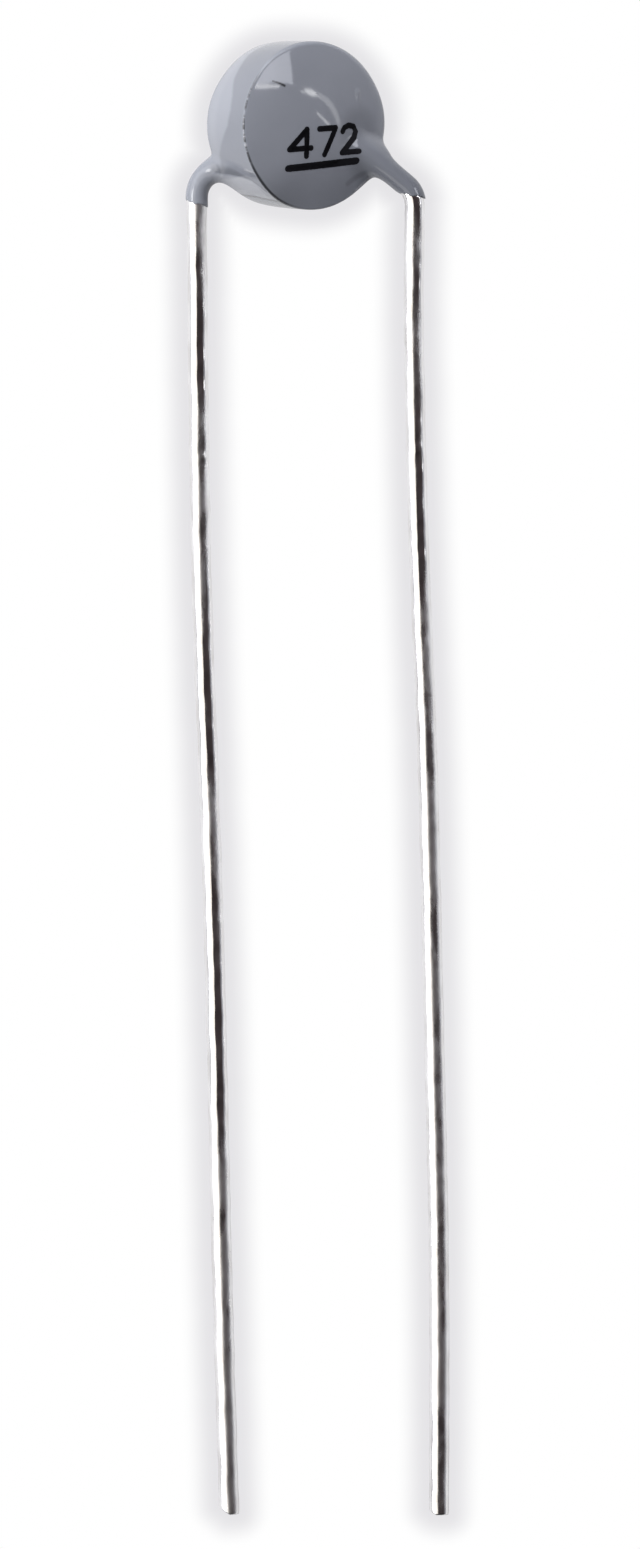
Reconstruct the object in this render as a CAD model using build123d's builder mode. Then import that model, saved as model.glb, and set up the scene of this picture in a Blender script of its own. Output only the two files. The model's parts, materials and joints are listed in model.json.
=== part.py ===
"""Two-lead disc thermistor, lying as it comes to rest on a flat surface (millimetres).

A small oxide ceramic disc carries a fired silver electrode on each face. The two formed copper
leads grip it askew, one soldered to each electrode, and the whole disc is dipped in lacquer
that runs a little way down the wires. X lies across the leads, +Y runs from the cut tips to
the disc, and +Z points up from the surface.
"""
from build123d import *
from math import asin, atan, cos, radians, sin, sqrt, tan
import os

os.makedirs("parts", exist_ok=True)

# ---- Driving dimensions ---------------------------------------------------------------------
wire_diameter = 0.50        # tinned copper wire
skew_deg = 33.0             # turn of the disc out of the plane of the leads

coat_diameter = 4.00        # lacquered disc
coat_thickness = 1.84       # at the rim; each face swells beyond it
front_dome = 0.26
rear_dome = 0.25
rear_edge_round = 0.22      # the edge is crisp at the front and soft at the back

ceramic_diameter = 3.30
ceramic_thickness = 0.90
electrode_diameter = 3.05
electrode_thickness = 0.03

solder_gap = 0.02           # solder film between the wire and its electrode
solder_length = 0.80
solder_width = 0.96
solder_height = 0.34
solder_slope_deg = 28.0

film = 0.02                 # lacquer on the wire beyond the web

# ---- Lead forms -----------------------------------------------------------------------------
# Points in the plane of the leads: x across, y towards the disc, both from the disc's centre.
wire_radius = wire_diameter / 2
skew = radians(skew_deg)
electrode_top = ceramic_thickness / 2 + electrode_thickness
grip_x = (electrode_top + solder_gap + wire_radius) / sin(skew)

left_route = [
    (-grip_x, 0.46),        # end of the wire on the rear electrode
    (-grip_x, -0.74),       # out past the rim
    (-2.36, -1.286),        # shoulder
    (-2.48, -10.2),
    (-2.335, -18.5),
    (-2.325, -28.0),
    (-2.28, -33.43),        # cut tip
]
left_bends = [0.40, 0.52]
left_film_end = (-2.34, -1.87)
left_film_slant = 17.0

right_route = [
    (grip_x, 0.70),         # end of the wire on the front electrode
    (grip_x, -0.42),        # out past the rim
    (2.868, -1.72),         # shoulder
    (2.765, -4.5),
    (2.762, -9.8),
    (2.885, -15.2),
    (2.905, -27.8),
    (2.762, -33.55),        # cut tip
]
right_bends = [0.50, 0.60]
right_film_end = (2.89, -1.80)
right_film_slant = 13.0

# The web of lacquer round each shoulder, from its root in the disc out to the bare film:
# distance along the shoulder, shift across it, height off the plane of the leads, half width
# across the shoulder and half thickness.
film_radius = wire_radius + film
left_web = [
    (0.00, -0.10, 0.08, 0.50, 0.36),
    (0.35, -0.12, 0.10, 0.54, 0.40),
    (0.60, -0.05, 0.04, 0.38, 0.33),
    (0.81, 0.00, 0.00, film_radius, film_radius),
]
right_web = [
    (0.00, -0.10, -0.10, 0.50, 0.36),
    (0.45, -0.16, -0.12, 0.62, 0.42),
    (0.85, -0.12, -0.06, 0.50, 0.37),
    (1.12, -0.03, -0.02, 0.34, 0.30),
    (1.34, 0.00, 0.00, film_radius, film_radius),
]


def bend_radii(route, formed_bends):
    """The formed bends first, then the largest arc that each slight bend leaves room for."""
    radii = list(formed_bends)
    for corner in range(len(formed_bends) + 1, len(route) - 1):
        before = Vector(*route[corner]) - Vector(*route[corner - 1])
        after = Vector(*route[corner + 1]) - Vector(*route[corner])
        turn = radians(before.get_angle(after))
        radii.append(0.45 * min(before.length, after.length) / tan(turn / 2))
    return radii


# ---- How it lies ----------------------------------------------------------------------------
# Both cut tips and the low side of the disc's rear edge touch the surface.
coat_radius = coat_diameter / 2
half_thickness = coat_thickness / 2
tip_reach = -(left_route[-1][1] + right_route[-1][1]) / 2


def disc_height(slope):
    """Height of the disc's centre when the leads slope down from it by this angle."""
    lean = cos(skew) * cos(slope)
    face_slope = 2 * atan(rear_dome / coat_radius)
    round_depth = rear_edge_round * (1 - sin(face_slope)) / cos(face_slope)
    edge_circle = (coat_radius - rear_edge_round) * sqrt(1 - lean**2)
    return edge_circle + (half_thickness - round_depth) * lean + rear_edge_round


slope = 0.0
for _ in range(6):
    slope = asin((disc_height(slope) - wire_radius * cos(slope)) / tip_reach)

left_side = min(x for x, y in left_route) - wire_radius
right_side = max(x for x, y in right_route) + wire_radius
far_side = coat_radius * cos(slope)
near_side = right_route[-1][1] * cos(slope)
disc_centre = (
    -(left_side + right_side) / 2,
    -(far_side + near_side) / 2,
    disc_height(slope),
)
lead_plane = Plane(disc_centre, x_dir=(1, 0, 0), z_dir=(0, -sin(slope), cos(slope)))
disc_plane = Plane(lead_plane.location * Rotation(0, skew_deg, 0))
section_plane = Plane(disc_plane.location * Rotation(90, 0, 0))
disc_axis = Axis(disc_plane.origin, disc_plane.z_dir)

# ---- Leads ----------------------------------------------------------------------------------
# Two formed bends at the shoulder, then a leg that keeps the slight bends of handled wire.
with BuildPart() as left_lead:
    with BuildLine(lead_plane) as left_path:
        FilletPolyline(*left_route, radius=bend_radii(left_route, left_bends))
    with BuildSketch(Plane(left_path.line @ 0, z_dir=left_path.line % 0)):
        Circle(wire_radius)
    sweep(path=left_path)
left_lead.part.label = "left_lead"
export_step(left_lead.part, "parts/left_lead.step")

with BuildPart() as right_lead:
    with BuildLine(lead_plane) as right_path:
        FilletPolyline(*right_route, radius=bend_radii(right_route, right_bends))
    with BuildSketch(Plane(right_path.line @ 0, z_dir=right_path.line % 0)):
        Circle(wire_radius)
    sweep(path=right_path)
right_lead.part.label = "right_lead"
export_step(right_lead.part, "parts/right_lead.step")

# ---- Sensing disc ---------------------------------------------------------------------------
with BuildPart() as ceramic_disc:
    with BuildSketch(disc_plane.offset(-ceramic_thickness / 2)):
        Circle(ceramic_diameter / 2)
    extrude(amount=ceramic_thickness)
ceramic_disc.part.label = "ceramic_disc"
export_step(ceramic_disc.part, "parts/ceramic_disc.step")

with BuildPart() as front_electrode:
    with BuildSketch(disc_plane.offset(ceramic_thickness / 2)):
        Circle(electrode_diameter / 2)
    extrude(amount=electrode_thickness)
front_electrode.part.label = "front_electrode"
export_step(front_electrode.part, "parts/front_electrode.step")

with BuildPart() as rear_electrode:
    with BuildSketch(disc_plane.offset(-ceramic_thickness / 2)):
        Circle(electrode_diameter / 2)
    extrude(amount=-electrode_thickness)
rear_electrode.part.label = "rear_electrode"
export_step(rear_electrode.part, "parts/rear_electrode.step")

# ---- Solder joints --------------------------------------------------------------------------
# Each is a sloping block of solder along its wire, clear of the bend at the rim.
grip_u = grip_x * cos(skew)

with BuildPart() as front_solder_joint:
    with BuildSketch(disc_plane.offset(electrode_top)):
        with Locations((grip_u, 0.30)):
            Rectangle(solder_width, solder_length)
    extrude(amount=solder_height, taper=solder_slope_deg)
    add(right_lead.part, mode=Mode.SUBTRACT)
front_solder_joint.part.label = "front_solder_joint"
export_step(front_solder_joint.part, "parts/front_solder_joint.step")

with BuildPart() as rear_solder_joint:
    with BuildSketch(disc_plane.offset(-electrode_top)):
        with Locations((-grip_u, 0.0)):
            Rectangle(solder_width, solder_length)
    extrude(amount=-solder_height, taper=solder_slope_deg)
    add(left_lead.part, mode=Mode.SUBTRACT)
rear_solder_joint.part.label = "rear_solder_joint"
export_step(rear_solder_joint.part, "parts/rear_solder_joint.step")


# ---- Coating --------------------------------------------------------------------------------
# One dipped skin: the domed disc, a web round each shoulder, and a thin film on each wire.
def shoulder_plane(route, along, across, lift):
    """A plane square to the straight shoulder, its own X across the shoulder."""
    start = Vector(*route[1])
    way = (Vector(*route[2]) - start).normalized()
    side = Vector(-way.Y, way.X) if way.X > 0 else Vector(way.Y, -way.X)
    spot = start + way * along + side * across
    origin = lead_plane.from_local_coords(Vector(spot.X, spot.Y, lift))
    x_dir = lead_plane.x_dir * side.X + lead_plane.y_dir * side.Y
    z_dir = lead_plane.x_dir * way.X + lead_plane.y_dir * way.Y
    return Plane(origin, x_dir=x_dir, z_dir=z_dir)


def film_tube(route, bends, web, film_end, slant):
    """Lacquer on one wire, from the end of the web to its slanted end just below the shoulder."""
    with BuildPart() as tube:
        with BuildLine(lead_plane) as path:
            FilletPolyline(*route[1:4], radius=bends[1])
        with BuildSketch(Plane(path.line @ 0, z_dir=path.line % 0)):
            Circle(film_radius)
        sweep(path=path)
        split(bisect_by=shoulder_plane(route, *web[-1][:3]), keep=Keep.TOP)
        end_origin = lead_plane.from_local_coords(Vector(*film_end))
        level = Plane(end_origin, x_dir=lead_plane.x_dir, z_dir=lead_plane.y_dir)
        split(bisect_by=Plane(level.location * Rotation(0, slant, 0)), keep=Keep.TOP)
    return tube.part


left_tube = film_tube(left_route, left_bends, left_web, left_film_end, left_film_slant)
right_tube = film_tube(right_route, right_bends, right_web, right_film_end, right_film_slant)

with BuildPart() as coating:
    with BuildSketch(section_plane):
        with BuildLine():
            front = ThreePointArc(
                (-coat_radius, half_thickness),
                (0, half_thickness + front_dome),
                (coat_radius, half_thickness),
            )
            rim = Line(front @ 1, (coat_radius, -half_thickness))
            rear = ThreePointArc(
                rim @ 1,
                (0, -half_thickness - rear_dome),
                (-coat_radius, -half_thickness),
            )
            Line(rear @ 1, front @ 0)
        make_face()
        split(bisect_by=Plane.YZ, keep=Keep.TOP)
    revolve(axis=disc_axis)
    rims = coating.edges().filter_by(lambda edge: edge.is_closed).sort_by(disc_axis)
    fillet(rims[0], rear_edge_round)
    for route, web in ((left_route, left_web), (right_route, right_web)):
        for along, across, lift, half_width, half_depth in web:
            with BuildSketch(shoulder_plane(route, along, across, lift)):
                Ellipse(half_width, half_depth)
        loft()
    add(left_tube)
    add(right_tube)
    for piece in (ceramic_disc, front_electrode, rear_electrode, front_solder_joint,
                  rear_solder_joint, left_lead, right_lead):
        add(piece.part, mode=Mode.SUBTRACT)
coating.part.label = "coating"
export_step(coating.part, "parts/coating.step")
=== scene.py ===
import json
import math

import bpy
import numpy as np
from mathutils import Matrix, Vector
from mathutils.bvhtree import BVHTree
from mathutils.kdtree import KDTree


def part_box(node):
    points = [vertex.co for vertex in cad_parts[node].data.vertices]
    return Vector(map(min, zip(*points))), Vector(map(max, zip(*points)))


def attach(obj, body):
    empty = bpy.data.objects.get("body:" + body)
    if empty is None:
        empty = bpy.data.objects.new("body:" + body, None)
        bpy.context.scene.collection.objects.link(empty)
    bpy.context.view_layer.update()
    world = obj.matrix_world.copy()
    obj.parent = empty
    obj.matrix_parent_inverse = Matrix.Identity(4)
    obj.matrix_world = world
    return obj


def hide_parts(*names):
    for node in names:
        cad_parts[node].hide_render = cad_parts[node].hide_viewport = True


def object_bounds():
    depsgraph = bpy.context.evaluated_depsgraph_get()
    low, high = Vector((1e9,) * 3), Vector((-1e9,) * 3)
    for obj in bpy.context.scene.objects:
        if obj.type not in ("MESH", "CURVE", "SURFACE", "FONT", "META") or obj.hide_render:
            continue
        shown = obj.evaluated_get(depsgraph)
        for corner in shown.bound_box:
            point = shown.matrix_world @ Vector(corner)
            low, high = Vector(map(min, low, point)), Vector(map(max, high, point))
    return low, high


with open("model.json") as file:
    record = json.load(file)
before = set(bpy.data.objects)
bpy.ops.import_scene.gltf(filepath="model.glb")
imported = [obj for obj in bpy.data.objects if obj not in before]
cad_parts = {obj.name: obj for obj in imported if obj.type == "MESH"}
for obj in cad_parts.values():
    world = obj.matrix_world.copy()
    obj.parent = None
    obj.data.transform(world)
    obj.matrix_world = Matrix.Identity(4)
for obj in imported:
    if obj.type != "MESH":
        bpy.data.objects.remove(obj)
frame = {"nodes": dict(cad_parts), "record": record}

MM = 0.001
low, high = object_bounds()
scene = bpy.context.scene
scene.view_settings.view_transform = "Standard"


# ---- Camera, lamps and room -----------------------------------------------------------------
# The part lies on a pale bench and is seen from straight above, through a long lens. Big soft
# lamps stand to its left and beyond it, a small window is at the upper right, and the rest of
# the room is dim.
VIEW_HEIGHT = 37.14 * MM         # how much of the bench the long side of the view takes in
CAMERA_DISTANCE = 600 * MM
CAMERA_LEAN = math.radians(1.5)  # towards +Y from straight above
CAMERA_ROLL = math.radians(1.24)
VIEW_SHIFT = (0.06 * MM, 0.140 * MM)

right = Vector((math.cos(CAMERA_ROLL), -math.sin(CAMERA_ROLL), 0))
level_up = Vector((math.sin(CAMERA_ROLL), math.cos(CAMERA_ROLL), 0))
back = Vector((0, 0, 1)) * math.cos(CAMERA_LEAN) + level_up * math.sin(CAMERA_LEAN)
up = back.cross(right)
aim = (low + high) / 2 + right * VIEW_SHIFT[0] + up * VIEW_SHIFT[1]
camera = bpy.data.objects.new("camera", bpy.data.cameras.new("camera"))
scene.collection.objects.link(camera)
camera.matrix_world = Matrix((
    (right.x, up.x, back.x, aim.x + back.x * CAMERA_DISTANCE),
    (right.y, up.y, back.y, aim.y + back.y * CAMERA_DISTANCE),
    (right.z, up.z, back.z, aim.z + back.z * CAMERA_DISTANCE),
    (0, 0, 0, 1),
))
camera.data.sensor_width = 36
camera.data.lens = 36 * CAMERA_DISTANCE / VIEW_HEIGHT
camera.data.clip_start = 0.01
camera.data.clip_end = 10
scene.camera = camera


def soft_lamp(name, spot, corner, side_a, side_b, radiance, tint=(1, 1, 1)):
    """A rectangular lamp from one corner and two sides, in millimetres from a spot."""
    side_a, side_b = Vector(side_a) * MM, Vector(side_b) * MM
    lamp = bpy.data.lights.new(name, "AREA")
    lamp.shape = "RECTANGLE"
    lamp.size, lamp.size_y = side_a.length, side_b.length
    lamp.energy = radiance * math.pi * side_a.length * side_b.length
    lamp.color = tint
    obj = bpy.data.objects.new(name, lamp)
    scene.collection.objects.link(obj)
    place = spot + Vector(corner) * MM + side_a / 2 + side_b / 2
    ax = side_a.normalized()
    away = ax.cross(side_b).normalized()
    if away.dot(place - spot) < 0:
        ax, away = -ax, -away
    ay = away.cross(ax)
    obj.matrix_world = Matrix((
        (ax.x, ay.x, away.x, place.x),
        (ax.y, ay.y, away.y, place.y),
        (ax.z, ay.z, away.z, place.z),
        (0, 0, 0, 1),
    ))
    return obj


soft_lamp("left_lamp", aim, (-166, -125, 28), (0, 260, 0), (48, 0, 96), 2.5)
soft_lamp("left_middle_lamp", aim, (-120, -30, 72), (0, 60, 0), (29, 0, 35), 7.5)
soft_lamp("left_top_lamp", aim, (-116, -125, 118), (0, 260, 0), (76, 0, 38), 1.3, (1, 0.95, 0.87))
soft_lamp("far_lamp", aim, (-180, 215, 30), (285, 0, 0), (0, -90, 150), 2.0)
soft_lamp("far_top_lamp", aim, (-80, 85, 140), (140, 0, 0), (0, 60, -45), 2.6)
disc_spot = (Vector(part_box("ceramic_disc")[0]) + Vector(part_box("ceramic_disc")[1])) / 2

# The window is lower at one end, so it is four upright strips side by side:
# (from, to) as shares of its length, height as a share of its full height, and radiance.
WINDOW_CORNER = Vector((123.0, 19.2, 83.7))      # mm from the disc
WINDOW_LENGTH = Vector((-33.2, 9.9, 36.0))
WINDOW_HEIGHT = Vector((-3.4, 39.5, -11.3))
for number, (start, end, height, radiance) in enumerate((
        (0, 0.26, 1.0, 4.4),
        (0.26, 0.47, 0.86, 4.6),
        (0.47, 0.68, 0.64, 5.0),
        (0.68, 0.90, 0.42, 5.0))):
    corner = WINDOW_CORNER + WINDOW_LENGTH * start
    soft_lamp("window_%d" % number, disc_spot, corner, WINDOW_HEIGHT * height,
              WINDOW_LENGTH * (end - start), radiance, (0.96, 0.98, 1.06))

# Bright slots between the window and the dark room: (from, to, width, radiance), with directions
# from the disc and the width in millimetres at the slots' distance.
SLOT_DISTANCE = 150      # mm
for number, (start, end, width, radiance) in enumerate((
        ((0.636, 0.174, 0.752), (0.698, 0.149, 0.701), 3.0, 8.0),
        ((0.698, 0.149, 0.701), (0.752, 0.127, 0.647), 2.6, 8.0),
        ((0.863, 0.116, 0.491), (0.891, 0.135, 0.436), 1.6, 6.2),
        ((0.848, 0.095, 0.523), (0.865, 0.106, 0.489), 1.6, 5.0),
        ((0.865, 0.106, 0.489), (0.895, 0.126, 0.430), 1.8, 9.5),
        ((0.871, 0.098, 0.480), (0.899, 0.117, 0.425), 1.6, 6.2),
        ((0.899, 0.121, 0.421), (0.926, 0.095, 0.365), 6.0, 2.4),
        ((0.926, 0.095, 0.365), (0.950, 0.047, 0.309), 7.0, 2.5),
        ((0.950, 0.047, 0.309), (0.965, -0.009, 0.260), 7.0, 2.3),
        ((0.965, -0.009, 0.260), (0.971, -0.061, 0.229), 7.0, 2.2),
        ((0.971, -0.061, 0.229), (0.973, -0.090, 0.214), 6.0, 1.4),
        ((0.883, 0.012, 0.470), (0.906, -0.025, 0.423), 3.2, 4.6),
        ((0.906, -0.025, 0.423), (0.933, -0.069, 0.352), 3.2, 5.0),
        ((0.933, -0.069, 0.352), (0.945, -0.093, 0.314), 3.0, 3.5))):
    start, end = Vector(start) * SLOT_DISTANCE, Vector(end) * SLOT_DISTANCE
    across_slot = (end - start).cross(start).normalized() * width
    soft_lamp("slot_%d" % number, disc_spot, start - across_slot / 2, end - start, across_slot,
              radiance)

# The room is dark above and pale near the horizon; the camera sees it white.
world = bpy.data.worlds.new("room")
scene.world = world
world.use_nodes = True
room, room_links = world.node_tree.nodes, world.node_tree.links
room.clear()
room_out = room.new("ShaderNodeOutputWorld")
way_out = room.new("ShaderNodeTexCoord")
height = room.new("ShaderNodeSeparateXYZ")
room_links.new(way_out.outputs["Generated"], height.inputs[0])
fade = room.new("ShaderNodeValToRGB")
fade.color_ramp.interpolation = "EASE"
fade.color_ramp.elements[0].position = 0.14
fade.color_ramp.elements[0].color = (0.53, 0.53, 0.57, 1)
fade.color_ramp.elements[1].position = 0.56
fade.color_ramp.elements[1].color = (0.064, 0.050, 0.052, 1)
room_links.new(height.outputs["Z"], fade.inputs["Fac"])
room_light = room.new("ShaderNodeBackground")
north = room.new("ShaderNodeMapRange")
north.inputs["From Min"].default_value = -0.45
north.inputs["From Max"].default_value = 0.05
north.inputs["To Min"].default_value = 0.12
north.inputs["To Max"].default_value = 1.0
room_links.new(height.outputs["Y"], north.inputs["Value"])
room_links.new(north.outputs[0], room_light.inputs["Strength"])
room_links.new(fade.outputs["Color"], room_light.inputs["Color"])
seen_white = room.new("ShaderNodeBackground")
seen_white.inputs["Color"].default_value = (1, 1, 1, 1)
room_rays = room.new("ShaderNodeLightPath")
room_mix = room.new("ShaderNodeMixShader")
room_links.new(room_rays.outputs["Is Camera Ray"], room_mix.inputs[0])
room_links.new(room_light.outputs[0], room_mix.inputs[1])
room_links.new(seen_white.outputs[0], room_mix.inputs[2])
room_links.new(room_mix.outputs[0], room_out.inputs["Surface"])


# ---- Lacquer coating ------------------------------------------------------------------------
# Grey lacquer, dipped over the soldered disc and cured. It is thick and glossy, keeps a sharp
# lip along the left of the front face, runs out as a web round each shoulder, and thins to a
# film that ends unevenly just below the bends of the wires.
pins = {m["name"]: m for m in frame["record"]["mounts"]}
pin_way = Vector(pins["left_pin"]["axis"]) + Vector(pins["right_pin"]["axis"])
up_leads = Vector((0, -pin_way.y, -pin_way.z)).normalized()
across = Vector((1, 0, 0))


def middle(node):
    """The middle of a CAD node's box."""
    lowest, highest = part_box(node)
    return (lowest + highest) / 2


disc_middle = middle("ceramic_disc")
facing = (middle("front_electrode") - middle("rear_electrode")).normalized()
sideways = up_leads.cross(facing)
SKEW = math.asin(facing.dot(across))

R = 2.00                 # disc radius, mm
HALF = 0.92              # half its thickness at the rim
FRONT_DOME = 0.26        # how far each face swells at its middle
REAR_DOME = 0.25
FACE_DROP = 0.05         # how far the front lies under its full height, and more near its foot
FOOT_DROP = 0.12
RIGHT_FULLNESS = 0.14    # how far the rim swells out at the front right, and along its foot
FOOT_FULLNESS = 0.05
TAPER = 0.06             # how far the rim draws in towards the back, and more at the upper left
UPPER_LEFT_TAPER = 0.08
LIP = 0.035              # edge rounding: the sharp lip at the left of the front,
SOFT_EDGE = 0.20         # the soft edge at its right,
REAR_EDGE = 0.16         # and all round the back
WIRE = 0.25              # wire radius
FILM = 0.02              # lacquer on the wire beyond the web
GRIP_DEPTH = 0.75        # from the middle of the disc to the axis of each soldered wire
GRIP = GRIP_DEPTH / math.sin(SKEW)
LEFT_BEND = [(-GRIP, 0.46), (-GRIP, -0.74), (-2.36, -1.286), (-2.48, -10.2)]
RIGHT_BEND = [(GRIP, 0.70), (GRIP, -0.42), (2.868, -1.72), (2.765, -4.5)]
LEFT_RADII = [0.40, 0.75]
RIGHT_RADII = [0.50, 0.60]
LEFT_END = (-2.34, -1.87, 17)      # where the film ends on each wire: x, y and slant in degrees
RIGHT_END = (2.89, -1.80, 13)
LEFT_WEB = 0.78          # reach of the web at each shoulder
RIGHT_WEB = 0.72
RIGHT_FILL = 0.55        # more of it above the right wire than below
FINE = 0.030


def from_disc(points):
    """Millimetres along the disc's axes (sideways, up the leads, forwards) to world metres."""
    axes = np.array([sideways, up_leads, facing])
    return np.asarray(points) @ axes * MM + np.array(disc_middle)


def leads_to_disc(x, y, z=0.0):
    """A point in the plane of the leads to the disc's axes."""
    return np.array([x * math.cos(SKEW) - z * math.sin(SKEW), y,
                     x * math.sin(SKEW) + z * math.cos(SKEW)])


def bent(route, radii, step):
    """A route of corners with its first corners rounded, as closely spaced points."""
    corners = [np.array(c, float) for c in route]
    points = [corners[0]]
    for corner, radius, before, after in zip(corners[1:], radii, corners, corners[2:]):
        back_way = (before - corner) / np.linalg.norm(before - corner)
        on_way = (after - corner) / np.linalg.norm(after - corner)
        turn = math.pi - math.acos(back_way @ on_way)
        centre_way = (back_way + on_way) / np.linalg.norm(back_way + on_way)
        centre = corner + centre_way * radius / math.cos(turn / 2)
        start = corner + back_way * radius * math.tan(turn / 2) - centre
        swing = math.copysign(turn, start[0] * on_way[1] - start[1] * on_way[0])
        count = max(3, math.ceil(radius * turn / step))
        for k in range(count + 1):
            c, s = math.cos(swing * k / count), math.sin(swing * k / count)
            swung = np.array([start[0] * c - start[1] * s, start[0] * s + start[1] * c])
            points.append(centre + swung)
    points.extend(corners[len(radii) + 1:])
    return np.array(points)


def near_line(p, line):
    """Distance to a line of points, and how far along it the nearest spot is (0 to 1)."""
    best = np.full(len(p), 1e9)
    along = np.zeros(len(p))
    for k, (a, b) in enumerate(zip(line, line[1:])):
        run = b - a
        t = np.clip((p - a) @ run / (run @ run), 0, 1)
        gap = p - a - t[:, None] * run
        d = np.einsum("ij,ij->i", gap, gap)
        closer = d < best
        best[closer] = d[closer]
        along[closer] = (k + t[closer]) / (len(line) - 1)
    return np.sqrt(best), along


def step_up(low_edge, high_edge, x):
    """A smooth step from 0 at the low edge to 1 at the high edge."""
    t = np.clip((x - low_edge) / (high_edge - low_edge), 0, 1)
    return t * t * (3 - 2 * t)


def round_corner(a, b, radius):
    """The corner where two surfaces meet, rounded."""
    past = np.hypot(np.maximum(radius + a, 0), np.maximum(radius + b, 0))
    return np.minimum(-radius, np.maximum(a, b)) + past


def flow_together(a, b, reach):
    """Two bodies joined by a smooth web."""
    h = np.maximum(reach - np.abs(a - b), 0) / reach
    return np.minimum(a, b) - h**3 * reach / 6


left_wire = np.array([leads_to_disc(*q) for q in bent(LEFT_BEND, LEFT_RADII, 0.08)])
right_wire = np.array([leads_to_disc(*q) for q in bent(RIGHT_BEND, RIGHT_RADII, 0.08)])


def film_end(p, x, y, slant):
    """How far a point is past the slanted end of the film on one wire."""
    lead_x = p[:, 0] * math.cos(SKEW) + p[:, 2] * math.sin(SKEW)
    tilt = math.radians(slant)
    ragged = 0.012 * np.sin(21 * lead_x + 3 * x) + 0.010 * np.sin(47 * p[:, 2])
    return (y - p[:, 1]) * math.cos(tilt) - (lead_x - x) * math.sin(tilt) + ragged


def disc_sides(p):
    """How far points are outside the rim, the front and the rear of the coated disc."""
    u, v, n = p.T
    r = np.hypot(u, v)
    turn = np.degrees(np.arctan2(v, -u))           # 0 at the left, 90 at the top
    from_right = np.degrees(np.arctan2(v, u))
    uneven = 0.004 * (np.sin(2.1 * u + 1.3 * v + 1.0) + np.sin(1.7 * v - 2.6 * u + 2.2)
                      + np.sin(3.3 * u + 0.6) * np.sin(2.9 * v + 1.1))
    dropped = FACE_DROP + FOOT_DROP * np.minimum(r / R, 1.1) ** 4 * np.exp(-((turn + 72) / 22) ** 2)
    front = n - HALF - FRONT_DOME * (1 - (r / R) ** 2) - uneven + dropped
    rear = -n - HALF - REAR_DOME * (1 - (r / R) ** 2) - uneven
    deep = np.clip((HALF - n) / (2 * HALF), 0, 1.2)
    fullness = (RIGHT_FULLNESS * np.exp(-((from_right + 1) / 40) ** 2) * step_up(-0.4, 0.5, n)
                + FOOT_FULLNESS * np.exp(-((turn + 90) / 35) ** 2))
    taper = TAPER + UPPER_LEFT_TAPER * np.exp(-((turn - 52) / 30) ** 2)
    rim = r - R - fullness + taper * deep**3 - uneven
    return rim, front, rear


def lacquer(p):
    """Signed distance from the outside of the lacquer, for points in the disc's millimetres."""
    rim, front, rear = disc_sides(p)
    u, v, n = p.T
    turn = np.degrees(np.arctan2(v, -u))
    crisp = (1 - 0.35 * step_up(45, 75, turn) - 0.65 * step_up(95, 140, turn)
             - (1 - step_up(-165, -130, turn)))
    body = round_corner(rim, front * 0.97, SOFT_EDGE + (LIP - SOFT_EDGE) * crisp)
    body = round_corner(body, rear * 0.97, REAR_EDGE)
    for wire, end, top, full, web in ((left_wire, LEFT_END, -0.30, -1.00, LEFT_WEB),
                                      (right_wire, RIGHT_END, -0.05, -0.80, RIGHT_WEB)):
        tube = near_line(p, wire)[0] - WIRE - FILM
        tube = round_corner(tube, film_end(p, *end), 0.012)
        if wire is right_wire:
            web = web + RIGHT_FILL * step_up(0.0, 0.40, (v + 0.42 + 1.1 * (u - 1.3)) / 1.49)
        body = flow_together(body, tube, 0.02 + (web - 0.02) * step_up(-top, -full, -v))
    return body


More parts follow.
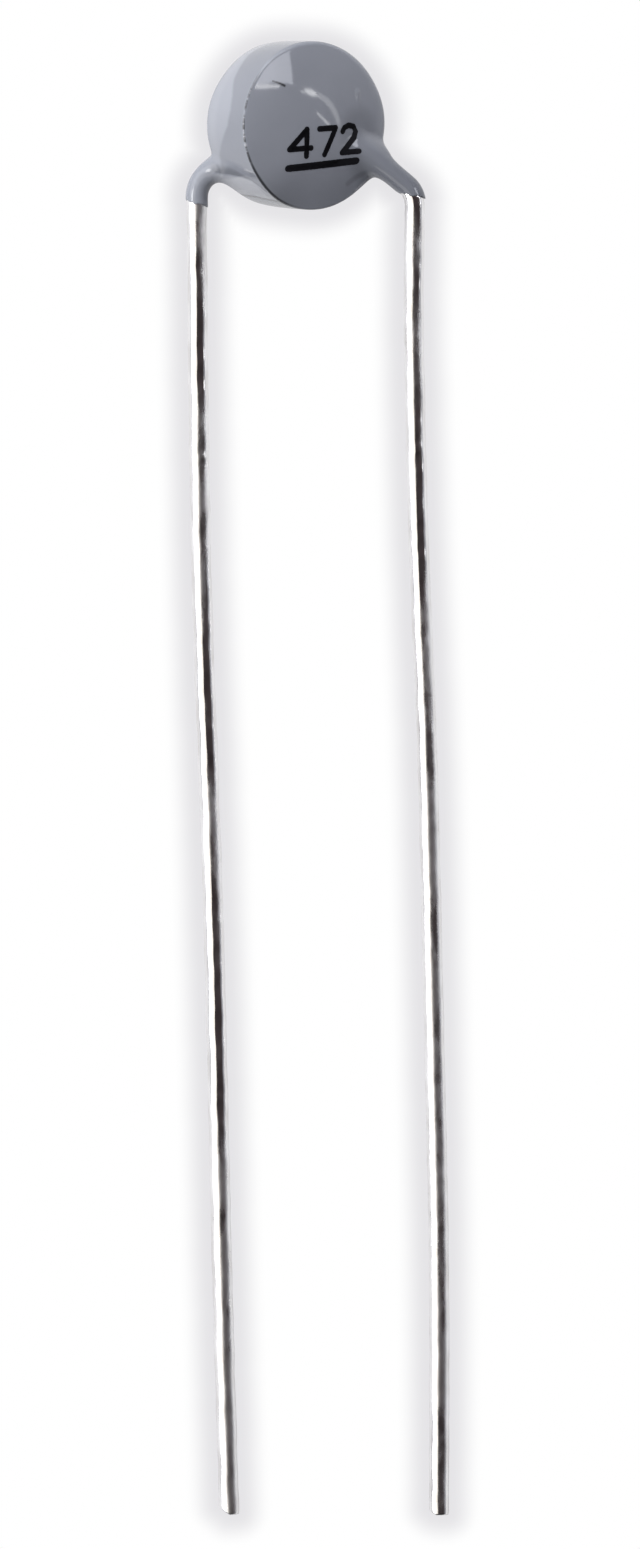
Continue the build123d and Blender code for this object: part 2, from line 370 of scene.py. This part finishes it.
def grown(field, low_corner, high_corner, step):
    """Triangulate the zero surface of a field: coarse blocks first, then fine ones near it."""
    block = 4
    shape = np.ceil((high_corner - low_corner) / (step * block)).astype(int)
    ids = np.stack(np.meshgrid(*[np.arange(s) for s in shape], indexing="ij"), -1).reshape(-1, 3)
    centres = low_corner + (ids + 0.5) * block * step - step / 2
    rough = field(centres)
    values = np.repeat(np.repeat(np.repeat(rough.reshape(shape), block, 0), block, 1), block, 2)
    near = ids[np.abs(rough) < 1.15 * block * step]
    inner = np.stack(np.meshgrid(*[np.arange(block)] * 3, indexing="ij"), -1).reshape(-1, 3)
    fine_ids = (near[:, None, :] * block + inner[None]).reshape(-1, 3)
    values[tuple(fine_ids.T)] = field(low_corner + fine_ids * step)

    inside = values < 0
    count = np.zeros(np.array(values.shape) - 1)
    total = np.zeros(count.shape + (3,))
    corners = [np.array(c) for c in ((0, 0), (0, 1), (1, 0), (1, 1))]
    for axis in range(3):
        others = [a for a in range(3) if a != axis]
        for corner in corners:
            lo = [slice(0, s) for s in count.shape]
            for a, c in zip(others, corner):
                lo[a] = slice(c, c + count.shape[a])
            hi = list(lo)
            lo[axis] = slice(0, count.shape[axis])
            hi[axis] = slice(1, count.shape[axis] + 1)
            f0, f1 = values[tuple(lo)], values[tuple(hi)]
            cut = inside[tuple(lo)] != inside[tuple(hi)]
            t = np.where(cut, f0 / np.where(cut, f0 - f1, 1), 0)
            count += cut
            total[..., axis] += t
            for a, c in zip(others, corner):
                total[..., a] += cut * c
    live = count > 0
    cells = np.argwhere(live)
    number = np.full(count.shape, -1)
    number[live] = np.arange(len(cells))
    points = low_corner + (cells + total[live] / count[live][:, None]) * step

    faces = []
    for axis in range(3):
        b, c = (axis + 1) % 3, (axis + 2) % 3
        lo = [slice(1, -1)] * 3
        lo[axis] = slice(0, -1)
        hi = list(lo)
        hi[axis] = slice(1, None)
        spots = np.argwhere(inside[tuple(lo)] != inside[tuple(hi)])
        spots += [0 if a == axis else 1 for a in range(3)]
        ring = []
        for db, dc in ((-1, -1), (0, -1), (0, 0), (-1, 0)):
            cell = spots.copy()
            cell[:, b] += db
            cell[:, c] += dc
            ring.append(number[tuple(cell.T)])
        ring = np.stack(ring, 1)
        flip = ~inside[tuple(spots.T)]
        ring[flip] = ring[flip][:, ::-1]
        faces.append(ring)
    faces = np.concatenate(faces)

    for _ in range(2):
        here = field(points)
        nudged = [field(points + step * 0.1 * e) - here for e in np.eye(3)]
        slope = np.stack(nudged, 1) / (step * 0.1)
        steepness = np.maximum(np.einsum("ij,ij->i", slope, slope), 0.2)
        move = np.clip(here / steepness, -step / 2, step / 2)
        points -= move[:, None] * slope
    return points, faces


def smooth_piece(name, points, faces, material):
    """A smooth-shaded piece that rides on the part, from world points in metres."""
    mesh = bpy.data.meshes.new(name)
    mesh.from_pydata(np.asarray(points).tolist(), [], [tuple(map(int, f)) for f in faces])
    mesh.materials.append(material)
    mesh.polygons.foreach_set("use_smooth", [True] * len(mesh.polygons))
    mesh.update()
    piece = bpy.data.objects.new(name, mesh)
    scene.collection.objects.link(piece)
    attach(piece, "root")
    return piece


# The coat's colour carries painted shade and light, and one real mark: a broken line of painted
# shade along the sharp lip, two lines of painted shade across the lower left of the rim with a
# painted reflection between them, a painted sheen behind a line along the rim, a line of painted
# shade under the right shoulder, two painted glints and a short scratch. They are drawn by the
# material and have no relief. The shade lines are (forwards, turn) points, the sheen's edge (turn,
# forwards), the shoulder line and the scratch (sideways, up the leads), and the glints turns along
# the lip, in millimetres and degrees.
UPPER_SHADE_LINE = [(-0.745, -30.5), (-0.577, -33.4), (-0.25, -35.0), (0.107, -36.3), (0.437, -38.5),
              (0.603, -43.7), (0.681, -49.7)]
LOWER_SHADE_LINE = [(-0.41, -58.1), (-0.05, -58.2), (0.21, -60.2), (0.55, -62.3)]
SHOULDER_SHADE_LINE = [(1.31, -1.22), (1.06, -1.34), (0.89, -1.45)]
SCRATCH = [(-1.20, 1.095), (-1.05, 1.048), (-0.90, 0.975)]
RIM_SHEEN_EDGE = [(-45, -0.60), (-20.2, -0.42), (1, 0.19), (12, 0.27), (22, 0.20), (35, -0.06),
             (47, -0.18), (60, -0.35)]
PAINTED_GLINT_SPOTS = [-6.0, -11.6]


def line_marks(points):
    """At each point: widths from the nearest line, how dark that line is, and how much painted
    light and painted shade.
    """
    u, v, n = points.T
    rim, front, _ = disc_sides(points)
    turn = np.degrees(np.arctan2(v, -u))
    random = np.random.default_rng(12)
    broken = sum(np.sin(turn * f + random.uniform(0, 6.28)) for f in (0.31, 0.53, 0.83, 1.37, 2.9))
    patchy = np.clip(0.60 + 0.35 * broken, 0.08, 1)
    patchy += (1 - patchy) * step_up(14, 36, np.abs(turn - 4))
    lip_gap = np.maximum(np.hypot(rim, front) - 0.012, 0)
    # Painted shade: a broken dark line along the sharp lip, darker on its lower half.
    lip_painted_shade = ((0.92 - 0.25 * step_up(0, 20, turn)) * step_up(-84, -62, turn)
                * (1 - step_up(30, 48, turn)) * patchy)
    on_rim = step_up(-0.35, -0.16, rim) * step_up(-0.95, -0.60, n) * step_up(0.02, 0.08, -front)
    # Painted shade on the rim: a soft dark band above the upper line and a thin dark line along the
    # lower one.
    mm_above = (turn - np.interp(n, *zip(*UPPER_SHADE_LINE))) * R * math.pi / 180
    mm_below = (turn - np.interp(n, *zip(*LOWER_SHADE_LINE))) * R * math.pi / 180
    painted_shade_above_line = on_rim * (0.34 - 0.17 * step_up(-0.1, 0.6, n))
    above_width = 0.20 - 0.12 * step_up(-0.3, 0.4, n)
    flat = np.stack([u, v], 1)
    facing_front = (n > 0.5).astype(float)
    # A line of painted shade under the right shoulder, on the front.
    under = near_line(flat, np.array(SHOULDER_SHADE_LINE))[0]
    scratch, along = near_line(flat, np.array(SCRATCH))
    gaps = np.stack([lip_gap / (0.026 + 0.016 * step_up(-8, -45, turn)),
                     np.where(mm_above > 0, mm_above / above_width, -mm_above / 0.03),
                     np.abs(mm_below) / 0.045,
                     under / 0.08,
                     scratch / (0.024 + 0.014 * along)])
    # How dark each line is: painted shade for the lip, the two rim lines and the shoulder line, and
    # the real scratch.
    darkness = np.stack([lip_painted_shade, painted_shade_above_line, 0.60 * on_rim, 0.22 * facing_front,
                         0.95 * facing_front])
    nearest = np.argmin(gaps + (darkness < 0.01) * 50, 0)
    pick = np.arange(len(u))
    # A painted sheen on the rim, behind a line along it towards the back.
    sheen_edge = np.interp(turn, *zip(*RIM_SHEEN_EDGE))
    behind = (step_up(-0.06, 0.10, sheen_edge - n) * step_up(0.02, 0.15, mm_above)
              * (1 - step_up(70, 110, turn)))
    # A painted reflection: a pale run on the rim between the two lines of painted shade.
    reflection_between_lines = 0.80 * step_up(0.02, 0.10, -mm_above) * step_up(0.03, 0.12, mm_below)
    painted_rim_sheen = behind * (0.26 + 0.12 * step_up(0.25, 0.50, -n))
    painted_light = on_rim * (reflection_between_lines + painted_rim_sheen)
    # Two painted glints: small pale spots on the lip.
    for spot in PAINTED_GLINT_SPOTS:
        from_glint = np.hypot((turn - spot) * R * math.pi / 180, lip_gap)
        painted_light = np.maximum(painted_light, 1.5 * np.exp(-(from_glint / 0.03) ** 2))
    # Painted shade close round the right wire's neck.
    neck = near_line(points, right_wire[right_wire[:, 1] < -0.15])[0]
    painted_shade_by_neck = 0.36 * (1 - step_up(0.40, 0.80, neck))
    # Painted shade over the lower part of the front face, darker towards the bottom.
    painted_shade_low_on_face = 0.32 * facing_front * step_up(0.5, 1.9, 0.2 * u - v)
    # Painted shade on the rim in front of the sheen's line, towards the lip.
    painted_rim_shade = ((0.12 + 0.18 * step_up(-22, 4, turn)) * on_rim * (1 - behind)
                    * step_up(0.02, 0.15, mm_above))
    # deep: all the painted shade on the coat.
    deep = painted_shade_by_neck + painted_shade_low_on_face + painted_rim_shade
    return np.minimum(gaps[nearest, pick], 20), darkness[nearest, pick], painted_light, deep


def lacquer_material():
    material = bpy.data.materials.new("grey_lacquer")
    material.use_nodes = True
    nodes, links = material.node_tree.nodes, material.node_tree.links
    gloss = nodes["Principled BSDF"]
    place = nodes.new("ShaderNodeTexCoord")
    cloud = nodes.new("ShaderNodeTexNoise")
    cloud.inputs["Scale"].default_value = 900
    cloud.inputs["Detail"].default_value = 3
    links.new(place.outputs["Object"], cloud.inputs["Vector"])
    tone = nodes.new("ShaderNodeValToRGB")
    tone.color_ramp.elements[0].color = (0.205, 0.219, 0.256, 1)
    tone.color_ramp.elements[1].color = (0.235, 0.250, 0.290, 1)
    links.new(cloud.outputs["Fac"], tone.inputs["Fac"])
    colour = tone.outputs["Color"]
    marks = {}
    for mark in ("line_gap", "shade_and_scratch_dark", "painted_light", "deep"):
        marks[mark] = nodes.new("ShaderNodeAttribute")
        marks[mark].attribute_name = mark
    sharp = nodes.new("ShaderNodeMapRange")
    sharp.interpolation_type = "SMOOTHSTEP"
    sharp.inputs["From Min"].default_value = 1.35
    sharp.inputs["From Max"].default_value = 0.25
    links.new(marks["line_gap"].outputs["Fac"], sharp.inputs["Value"])
    dark = nodes.new("ShaderNodeMath")
    dark.operation = "MULTIPLY"
    links.new(sharp.outputs[0], dark.inputs[0])
    links.new(marks["shade_and_scratch_dark"].outputs["Fac"], dark.inputs[1])
    # Painted light, painted shade, and the dark lines (painted shade and the scratch), each mixed
    # into the coat's colour.
    for amount, mark_colour in ((marks["painted_light"].outputs["Fac"], (0.34, 0.355, 0.395, 1)),
                                (marks["deep"].outputs["Fac"], (0.095, 0.102, 0.122, 1)),
                                (dark.outputs[0], (0.018, 0.019, 0.022, 1))):
        mix = nodes.new("ShaderNodeMixRGB")
        mix.inputs["Color2"].default_value = mark_colour
        links.new(amount, mix.inputs["Fac"])
        links.new(colour, mix.inputs["Color1"])
        colour = mix.outputs["Color"]
    links.new(colour, gloss.inputs["Base Color"])
    gloss.inputs["Roughness"].default_value = 0.06
    gloss.inputs["IOR"].default_value = 1.5
    return material


reach = R + 1.5
skin_points, skin_faces = grown(lacquer, np.array([-reach, -2.4, -2.2]),
                                np.array([reach, 2.3, 2.2]), FINE)
coat = smooth_piece("lacquer_coat", from_disc(skin_points), skin_faces, lacquer_material())
for mark, amount in zip(("line_gap", "shade_and_scratch_dark", "painted_light", "deep"), line_marks(skin_points)):
    coat.data.attributes.new(mark, "FLOAT", "POINT").data.foreach_set("value", amount)
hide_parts("coating")


# ---- Leads ----------------------------------------------------------------------------------
# Tinned copper wire, 0.5 mm, formed to a shoulder under the disc and cut by hand. The tin is
# bright but uneven, with rubbed patches and small pips where the wire was gripped.
LEFT_ROUTE = LEFT_BEND + [(-2.335, -18.5), (-2.325, -28.0), (-2.28, -33.43)]
RIGHT_ROUTE = RIGHT_BEND + [(2.762, -9.8), (2.885, -15.2), (2.905, -27.8), (2.762, -33.55)]
RING_STEP = 0.04
RING_SIDES = 36
UNEVEN_ROOM = 0.009      # taken off the radius, so that the uneven skin keeps to the wire's size
SKIN_MARGIN = 0.003      # and the least that it stays inside
TIP_ROLL = 0.18          # how far the rolled corner of a cut tip draws back

# The waves in each wire's skin: length in mm, turns round the wire, and depth in mm.
SKIN_WAVES = ((3.1, 1, 0.0024), (1.6, 2, 0.0022), (0.9, 1, 0.0016), (0.6, 2, 0.0010),
              (0.35, 3, 0.0004))

# Marks on each wire: mm down the wire from the disc's centre, angle round it (0 faces right,
# 90 up), length, width round it in degrees, height.
LEFT_MARKS = [
    (6.55, 150, 0.35, 50, 0.008), (6.9, 60, 0.25, 60, -0.010), (7.95, 120, 0.10, 30, 0.016),
    (14.9, 160, 0.30, 60, 0.010), (15.3, 70, 0.22, 50, -0.008), (21.5, 90, 0.5, 40, -0.005),
    (27.4, 140, 0.4, 50, 0.006)]
RIGHT_MARKS = [
    (7.85, 110, 0.10, 30, 0.016), (14.9, 140, 0.28, 50, 0.010), (18.6, 60, 0.4, 50, -0.006),
    (24.0, 150, 0.5, 40, 0.005), (28.7, 120, 0.55, 60, -0.008), (29.3, 60, 0.2, 50, 0.008)]


def slight_radii(route, formed):
    """The formed bends first, then the largest arc that each slight bend leaves room for."""
    radii = list(formed)
    rest = route[len(formed):]
    for before, corner, after in zip(rest, rest[1:], rest[2:]):
        run_in = math.dist(before, corner)
        run_out = math.dist(corner, after)
        turn = math.atan2(after[0] - corner[0], corner[1] - after[1]) - math.atan2(
            corner[0] - before[0], before[1] - corner[1])
        radii.append(0.45 * min(run_in, run_out) / math.tan(abs(turn) / 2))
    return radii


def wire_skin(route, formed, marks, seed, tip_tilt):
    """A wire's skin in the disc's axes: rings along its route, uneven, with a cut tip."""
    line = bent(route, slight_radii(route, formed), 0.5)
    runs = np.hypot(*np.diff(line, axis=0).T)
    reached = np.concatenate([[0], np.cumsum(runs)])
    s = np.linspace(0, reached[-1], int(reached[-1] / RING_STEP))
    x = np.interp(s, reached, line[:, 0])
    y = np.interp(s, reached, line[:, 1])
    way = np.stack([np.gradient(x, s), np.gradient(y, s)], 1)
    way /= np.linalg.norm(way, axis=1)[:, None]
    angle = np.radians(np.arange(RING_SIDES) * 360 / RING_SIDES)
    random = np.random.default_rng(seed)
    skin = np.full((len(s), RING_SIDES), 0.0)
    for length, turns, depth in SKIN_WAVES:
        for phase in random.uniform(0, 6.28, (3, 2)):
            stretch = length * random.uniform(0.8, 1.25)
            skin += depth * np.sin(2 * math.pi * s[:, None] / stretch + phase[0]) * np.cos(
                turns * angle[None] + phase[1])
    for place, facing_deg, mark_length, mark_width, mark_height in marks:
        off = (angle[None] - math.radians(facing_deg) + math.pi) % (2 * math.pi) - math.pi
        skin += mark_height * np.exp(-((-y[:, None] - place) / mark_length) ** 2
                                     - (off / math.radians(mark_width)) ** 2)
    # The cutters leave the very tip slightly pinched, with one corner rolled over.
    to_tip = reached[-1] - s[:, None]
    pinch = np.exp(-to_tip / 0.05)
    pinched = 1 - 0.05 * pinch * np.abs(np.cos(angle[None] - 0.6))
    radius = (WIRE - UNEVEN_ROOM) * pinched + skin * (1 - pinch)
    radius = np.minimum(radius, WIRE - SKIN_MARGIN)
    side = np.stack([-way[:, 1], way[:, 0]], 1)
    px = x[:, None] - side[:, 0, None] * radius * np.cos(angle)[None]
    py = y[:, None] - side[:, 1, None] * radius * np.cos(angle)[None]
    pz = radius * np.sin(angle)[None]
    rolled = np.maximum(np.cos(angle)[None] - tip_tilt, 0) * np.clip(1 - to_tip / 0.4, 0, 1) ** 2
    py = py + rolled * TIP_ROLL
    points = np.stack([px * math.cos(SKEW) - pz * math.sin(SKEW), py,
                       px * math.sin(SKEW) + pz * math.cos(SKEW)], -1).reshape(-1, 3)
    ends = [points[:RING_SIDES].mean(0), points[-RING_SIDES:].mean(0)]
    points = np.concatenate([points, ends])
    faces = []
    for k in range(len(s) - 1):
        for j in range(RING_SIDES):
            i = (j + 1) % RING_SIDES
            faces.append((k * RING_SIDES + j, k * RING_SIDES + i,
                          (k + 1) * RING_SIDES + i, (k + 1) * RING_SIDES + j))
    last = (len(s) - 1) * RING_SIDES
    for j in range(RING_SIDES):
        i = (j + 1) % RING_SIDES
        faces.append((i, j, len(points) - 2))
        faces.append((last + j, last + i, len(points) - 1))
    return points, faces


def tinned_wire_material():
    material = bpy.data.materials.new("tinned_wire")
    material.use_nodes = True
    nodes, links = material.node_tree.nodes, material.node_tree.links
    tin = nodes["Principled BSDF"]
    tin.inputs["Metallic"].default_value = 1.0
    place = nodes.new("ShaderNodeTexCoord")
    stretched = nodes.new("ShaderNodeMapping")
    stretched.inputs["Scale"].default_value = (1, 0.25, 1)
    links.new(place.outputs["Object"], stretched.inputs["Vector"])
    grain = nodes.new("ShaderNodeTexNoise")
    grain.inputs["Scale"].default_value = 5200
    grain.inputs["Detail"].default_value = 4
    links.new(stretched.outputs["Vector"], grain.inputs["Vector"])
    tone = nodes.new("ShaderNodeValToRGB")
    tone.color_ramp.elements[0].position = 0.3
    tone.color_ramp.elements[0].color = (0.72, 0.71, 0.71, 1)
    tone.color_ramp.elements[1].position = 0.6
    tone.color_ramp.elements[1].color = (0.88, 0.88, 0.89, 1)
    links.new(grain.outputs["Fac"], tone.inputs["Fac"])
    links.new(tone.outputs["Color"], tin.inputs["Base Color"])
    # Rubbed patches a millimetre or two long are duller than the rest.
    patches = nodes.new("ShaderNodeMapping")
    patches.inputs["Scale"].default_value = (1, 0.16, 1)
    links.new(place.outputs["Object"], patches.inputs["Vector"])
    patchy = nodes.new("ShaderNodeTexNoise")
    patchy.inputs["Scale"].default_value = 1500
    patchy.inputs["Detail"].default_value = 5
    links.new(patches.outputs["Vector"], patchy.inputs["Vector"])
    rub = nodes.new("ShaderNodeMapRange")
    rub.inputs["From Min"].default_value = 0.46
    rub.inputs["From Max"].default_value = 0.62
    rub.inputs["To Min"].default_value = 0.10
    rub.inputs["To Max"].default_value = 0.33
    # The tin is duller towards the tips, from higher up on the right wire than on the left one,
    # and is finely flecked.
    reached_up = nodes.new("ShaderNodeVectorMath")
    reached_up.operation = "DOT_PRODUCT"
    reached_up.inputs[1].default_value = (-1.3, 1, 0)
    links.new(place.outputs["Object"], reached_up.inputs[0])
    handled = nodes.new("ShaderNodeMapRange")
    handled.inputs["From Min"].default_value = 6 * MM
    handled.inputs["From Max"].default_value = -6 * MM
    handled.inputs["To Min"].default_value = -0.15
    handled.inputs["To Max"].default_value = -0.04
    links.new(reached_up.outputs["Value"], handled.inputs["Value"])
    flecked = nodes.new("ShaderNodeMath")
    flecked.operation = "MULTIPLY_ADD"
    flecked.inputs[1].default_value = 0.30
    links.new(grain.outputs["Fac"], flecked.inputs[0])
    links.new(patchy.outputs["Fac"], flecked.inputs[2])
    dulled = nodes.new("ShaderNodeMath")
    dulled.operation = "ADD"
    links.new(flecked.outputs[0], dulled.inputs[0])
    links.new(handled.outputs[0], dulled.inputs[1])
    links.new(dulled.outputs[0], rub.inputs["Value"])
    links.new(rub.outputs[0], tin.inputs["Roughness"])
    bump = nodes.new("ShaderNodeBump")
    bump.inputs["Strength"].default_value = 0.12
    bump.inputs["Distance"].default_value = 0.004 * MM
    links.new(grain.outputs["Fac"], bump.inputs["Height"])
    links.new(bump.outputs["Normal"], tin.inputs["Normal"])
    return material


tin = tinned_wire_material()
wires = []
for side, route, formed, marks, seed, tip_tilt in (
        ("left", LEFT_ROUTE, LEFT_RADII, LEFT_MARKS, 4, 0.0),
        ("right", RIGHT_ROUTE, RIGHT_RADII, RIGHT_MARKS, 9, 0.35)):
    wire_points, wire_faces = wire_skin(route, formed, marks, seed, tip_tilt)
    wire = smooth_piece(side + "_wire", from_disc(wire_points), wire_faces, tin)
    wires.append(wire)
    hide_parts(side + "_lead")


# ---- Value mark -----------------------------------------------------------------------------
# Three plain digits with a line under them, rolled on in black ink before the last cure.
STROKE = 0.142           # mm
DIGITS = [
    [[(-0.37, -0.735), (-0.36, -0.095), (-0.83, -0.555), (-0.25, -0.540)]],
    [[(-0.01, -0.095), (0.46, -0.085), (0.14, -0.715)]],
    [[(0.67, -0.185), (0.72, -0.095), (0.86, -0.045), (1.01, -0.080), (1.07, -0.205),
      (1.00, -0.350), (0.65, -0.695), (1.09, -0.675)]],
]
UNDERLINE = [(-0.85, -1.010), (1.04, -0.910)]
UNDERLINE_STROKE = STROKE * 1.25
INK_LIFT = 0.006         # how far the ink stands off the lacquer


def inked(strokes, width):
    """Flat round-ended strokes as small facets in the face's own plane."""
    points, faces = [], []
    random = np.random.default_rng(3)
    for stroke in strokes:
        line = [np.array(stroke[0], float)]
        for a, b in zip(stroke, stroke[1:]):
            a, b = np.array(a, float), np.array(b, float)
            count = max(2, int(np.linalg.norm(b - a) / 0.03))
            for k in range(1, count + 1):
                line.append(a + (b - a) * k / count)
        for spot in line:
            radius = width / 2 * random.uniform(0.93, 1.05)
            start = len(points)
            points.append(spot)
            for k in range(12):
                edge = np.array([math.cos(k * math.pi / 6), math.sin(k * math.pi / 6)])
                points.append(spot + radius * edge)
            for k in range(12):
                faces.append((start, start + 1 + k, start + 1 + (k + 1) % 12))
    return np.array(points), faces


def ink_material():
    material = bpy.data.materials.new("marking_ink")
    material.use_nodes = True
    nodes, links = material.node_tree.nodes, material.node_tree.links
    ink = nodes["Principled BSDF"]
    place = nodes.new("ShaderNodeTexCoord")
    speckle = nodes.new("ShaderNodeTexNoise")
    speckle.inputs["Scale"].default_value = 9000
    links.new(place.outputs["Object"], speckle.inputs["Vector"])
    tone = nodes.new("ShaderNodeValToRGB")
    tone.color_ramp.elements[0].color = (0.002, 0.002, 0.004, 1)
    tone.color_ramp.elements[1].color = (0.006, 0.006, 0.009, 1)
    links.new(speckle.outputs["Fac"], tone.inputs["Fac"])
    links.new(tone.outputs["Color"], ink.inputs["Base Color"])
    ink.inputs["Roughness"].default_value = 0.7
    ink.inputs["IOR"].default_value = 1.25
    return material


coat_tree = BVHTree.FromPolygons([tuple(q) for q in skin_points], skin_faces.tolist())
ink_flat, ink_faces = inked([stroke for digit in DIGITS for stroke in digit], STROKE)
line_flat, line_faces = inked([UNDERLINE], UNDERLINE_STROKE)
ink_faces = ink_faces + [tuple(i + len(ink_flat) for i in f) for f in line_faces]
ink_points = []
for u, v in np.concatenate([ink_flat, line_flat]):
    hit = coat_tree.ray_cast(Vector((u, v, 3)), Vector((0, 0, -1)))[0]
    ink_points.append((hit.x, hit.y, hit.z + INK_LIFT))
ink = smooth_piece("value_mark", from_disc(ink_points), ink_faces, ink_material())


# ---- Inside the lacquer ---------------------------------------------------------------------
# The sintered oxide disc, its fired silver faces and the two solder joints keep their modelled
# shapes; the lacquer hides them.
def dressed(name, colour, deep_colour, metallic, roughness, scale, nodes_named):
    material = bpy.data.materials.new(name)
    material.use_nodes = True
    nodes, links = material.node_tree.nodes, material.node_tree.links
    surface = nodes["Principled BSDF"]
    surface.inputs["Metallic"].default_value = metallic
    surface.inputs["Roughness"].default_value = roughness
    place = nodes.new("ShaderNodeTexCoord")
    grain = nodes.new("ShaderNodeTexNoise")
    grain.inputs["Scale"].default_value = scale
    grain.inputs["Detail"].default_value = 5
    links.new(place.outputs["Object"], grain.inputs["Vector"])
    tone = nodes.new("ShaderNodeValToRGB")
    tone.color_ramp.elements[0].color = deep_colour
    tone.color_ramp.elements[1].color = colour
    links.new(grain.outputs["Fac"], tone.inputs["Fac"])
    links.new(tone.outputs["Color"], surface.inputs["Base Color"])
    bump = nodes.new("ShaderNodeBump")
    bump.inputs["Strength"].default_value = 0.2
    bump.inputs["Distance"].default_value = 0.01 * MM
    links.new(grain.outputs["Fac"], bump.inputs["Height"])
    links.new(bump.outputs["Normal"], surface.inputs["Normal"])
    for node in nodes_named:
        obj = frame["nodes"][node]
        obj.data.materials.clear()
        obj.data.materials.append(material)


dressed("black_oxide", (0.050, 0.048, 0.046, 1), (0.020, 0.020, 0.021, 1), 0.0, 0.62, 4000,
        ["ceramic_disc"])
dressed("fired_silver", (0.78, 0.77, 0.74, 1), (0.62, 0.61, 0.58, 1), 1.0, 0.42, 6000,
        ["front_electrode", "rear_electrode"])
dressed("solder", (0.72, 0.72, 0.73, 1), (0.50, 0.50, 0.52, 1), 1.0, 0.30, 3000,
        ["front_solder_joint", "rear_solder_joint"])


# ---- Bench ----------------------------------------------------------------------------------
# A matt white bench under the part, with a painted shadow: a soft grey shade close round the
# part, which goes by how far each spot of the bench is from the part.
SHADE_REACH = 0.80       # mm
BENCH_STEP = 0.12
FINE_MARGIN = 1.6        # mm of finely divided bench round the part
BENCH_HALF = 0.4         # metres from the middle to each side
near_spots = []
for piece in (coat, *wires):
    spots = np.empty(len(piece.data.vertices) * 3)
    piece.data.vertices.foreach_get("co", spots)
    near_spots.append(spots.reshape(-1, 3)[::3])
near_spots = np.concatenate(near_spots)
near_spots[:, :2] -= np.array(back)[:2] * ((near_spots[:, 2:] - low.z) / back.z)
shaded = KDTree(len(near_spots))
for number, spot in enumerate(near_spots):
    shaded.insert((spot[0], spot[1], 0), number)
shaded.balance()

margin = FINE_MARGIN * MM
inner_x = np.arange((low.x - margin) / MM, (high.x + margin) / MM, BENCH_STEP) * MM
inner_y = np.arange((low.y - margin) / MM, (high.y + margin) / MM, BENCH_STEP) * MM
grid_x = np.concatenate([[-BENCH_HALF], inner_x, [BENCH_HALF]])
grid_y = np.concatenate([[-BENCH_HALF], inner_y, [BENCH_HALF]])
bench_points = [(x, y, 0) for y in grid_y for x in grid_x]
columns = len(grid_x)
bench_faces = [(j * columns + i, j * columns + i + 1,
                (j + 1) * columns + i + 1, (j + 1) * columns + i)
               for j in range(len(grid_y) - 1) for i in range(columns - 1)]
bench_mesh = bpy.data.meshes.new("bench")
bench_mesh.from_pydata(bench_points, [], bench_faces)
gaps = np.array([shaded.find(q)[2] for q in bench_points]) / MM
open_part = step_up(0.05, SHADE_REACH, gaps)
bench_mesh.attributes.new("open", "FLOAT", "POINT").data.foreach_set("value", open_part)
bench = bpy.data.objects.new("bench", bench_mesh)
scene.collection.objects.link(bench)
bench.location.z = low.z


def bench_white():
    """Matt white, which the camera sees as white with the painted shadow close round the part."""
    material = bpy.data.materials.new("bench_white")
    material.use_nodes = True
    nodes, links = material.node_tree.nodes, material.node_tree.links
    nodes.clear()
    out = nodes.new("ShaderNodeOutputMaterial")
    matt = nodes.new("ShaderNodeBsdfDiffuse")
    matt.inputs["Color"].default_value = (0.58, 0.58, 0.59, 1)
    shade = nodes.new("ShaderNodeAttribute")
    shade.attribute_name = "open"
    # The painted shadow's grey, and white where the bench is open.
    level = nodes.new("ShaderNodeMixRGB")
    level.inputs["Color1"].default_value = (0.785, 0.778, 0.798, 1)
    level.inputs["Color2"].default_value = (1, 1, 1, 1)
    links.new(shade.outputs["Fac"], level.inputs["Fac"])
    white = nodes.new("ShaderNodeEmission")
    links.new(level.outputs["Color"], white.inputs["Color"])
    rays = nodes.new("ShaderNodeLightPath")
    glossy_share = nodes.new("ShaderNodeMath")
    glossy_share.operation = "MULTIPLY"
    glossy_share.inputs[1].default_value = 0.6
    links.new(rays.outputs["Is Glossy Ray"], glossy_share.inputs[0])
    seen = nodes.new("ShaderNodeMath")
    seen.operation = "MAXIMUM"
    links.new(rays.outputs["Is Camera Ray"], seen.inputs[0])
    links.new(glossy_share.outputs[0], seen.inputs[1])
    mix = nodes.new("ShaderNodeMixShader")
    through = nodes.new("ShaderNodeMath")
    through.operation = "MAXIMUM"
    links.new(seen.outputs[0], through.inputs[0])
    links.new(rays.outputs["Is Transmission Ray"], through.inputs[1])
    links.new(through.outputs[0], mix.inputs[0])
    links.new(matt.outputs[0], mix.inputs[1])
    links.new(white.outputs[0], mix.inputs[2])
    links.new(mix.outputs[0], out.inputs["Surface"])
    return material


bench_mesh.materials.append(bench_white())
